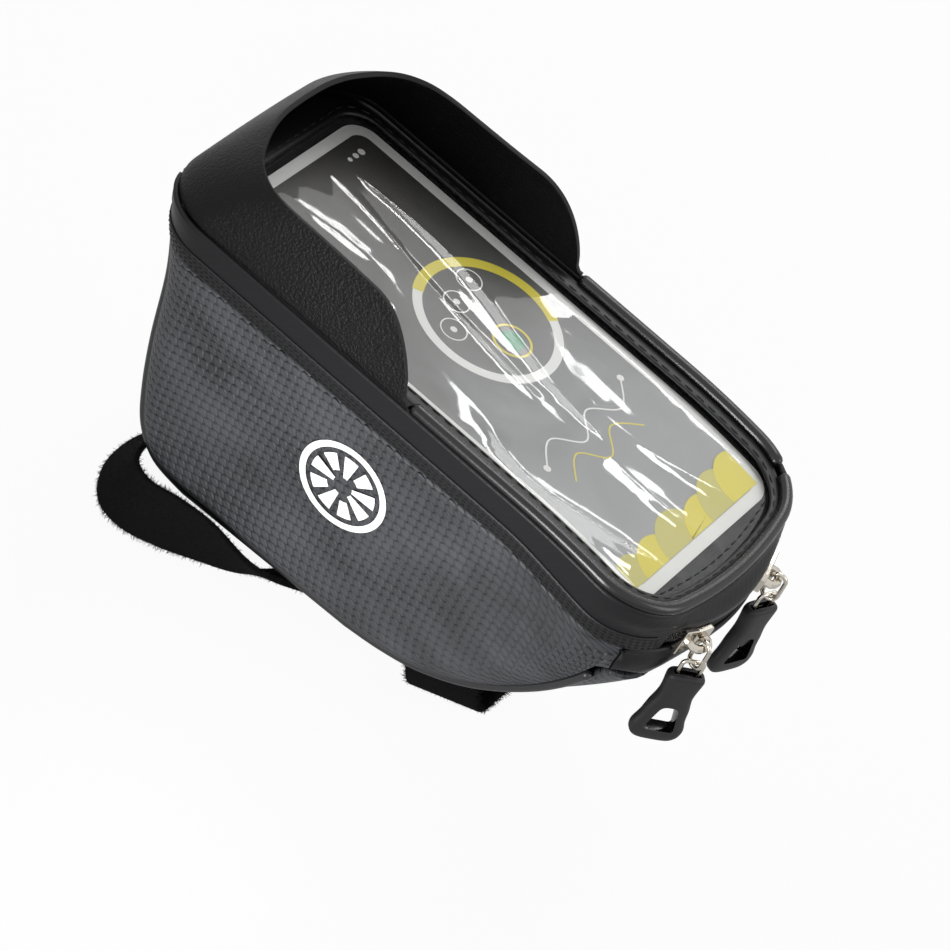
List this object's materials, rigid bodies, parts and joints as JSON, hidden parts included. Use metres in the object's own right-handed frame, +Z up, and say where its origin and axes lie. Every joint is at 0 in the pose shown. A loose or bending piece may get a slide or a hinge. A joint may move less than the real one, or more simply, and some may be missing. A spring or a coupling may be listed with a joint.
{
  "type": "handlebar phone bag",
  "caption": "Tapered zip bag for a bicycle's top tube with a clear phone window, a hooded sun visor, hanging zip pulls and hook-and-loop straps.",
  "frame": {"origin": "middle of the flat seat under the base, where the bag sits on the bicycle's top tube", "axes": "+Z up, +Y forward to the handlebar and the tall end with the visor, +X to the rider's right"},
  "size_m": [0.0962, 0.201, 0.1335],
  "materials": {
    "embossed_fabric": "embossed scales, satin",
    "smooth_fabric": "fine twill, satin",
    "piping": "glossy",
    "visor_sheet": "fine grain, satin",
    "clear_film": "glossy, transparent",
    "printed_card": "printed, satin",
    "lining": "matte",
    "zip_chain": "satin",
    "nickel": "polished",
    "rubber": "matte",
    "strap": "napped, matte"
  },
  "bodies": {
    "bag": {"gusset_panel": "embossed_fabric", "side_panel_left": "embossed_fabric", "side_panel_right": "embossed_fabric", "lower_piping_left": "piping", "lower_piping_right": "piping", "lid_side_band": "smooth_fabric", "lower_zip_band": "smooth_fabric", "lid_frame": "smooth_fabric", "lid_piping_left": "piping", "lid_piping_right": "piping", "window_film": "clear_film", "insert_card": "printed_card", "phone_pocket_panel": "lining", "sun_visor": "visor_sheet", "zip_tape_upper": "lining", "zip_tape_lower": "lining", "zip_chain": "zip_chain", "head_tube_strap": "strap", "base_strap": "strap"},
    "slider_left": {"slider_left": "nickel"},
    "link_left": {"puller_link_left": "nickel"},
    "pull_left": {"grip_clip_left": "nickel", "pull_grip_left": "rubber"},
    "slider_right": {"slider_right": "nickel"},
    "link_right": {"puller_link_right": "nickel"},
    "pull_right": {"grip_clip_right": "nickel", "pull_grip_right": "rubber"}
  },
  "joints": [
    {"name": "slider_left_run", "type": "hinge", "parent": "bag", "child": "slider_left", "pos_m": [0, -0.04985, 0.07144], "axis": [0, -0.061, 0.9981], "range_deg": [0, 9]},
    {"name": "link_left_swing", "type": "hinge", "parent": "slider_left", "child": "link_left", "pos_m": [-0.02165, -0.12142, 0.06706], "axis": [-0.9575, 0.2885, 0], "range_deg": [0, 75]},
    {"name": "pull_left_swing", "type": "hinge", "parent": "link_left", "child": "pull_left", "pos_m": [-0.02165, -0.12142, 0.06131], "axis": [-0.6591, 0.7521, 0], "range_deg": [0, 60]},
    {"name": "slider_right_run", "type": "hinge", "parent": "bag", "child": "slider_right", "pos_m": [0, -0.04985, 0.07144], "axis": [0, -0.061, 0.9981], "range_deg": [-9, 0]},
    {"name": "link_right_swing", "type": "hinge", "parent": "slider_right", "child": "link_right", "pos_m": [0.02165, -0.12142, 0.06706], "axis": [-0.9575, -0.2885, 0], "range_deg": [0, 75]},
    {"name": "pull_right_swing", "type": "hinge", "parent": "link_right", "child": "pull_right", "pos_m": [0.02165, -0.12142, 0.06131], "axis": [-0.9321, 0.3621, 0], "range_deg": [0, 60]}
  ]
}
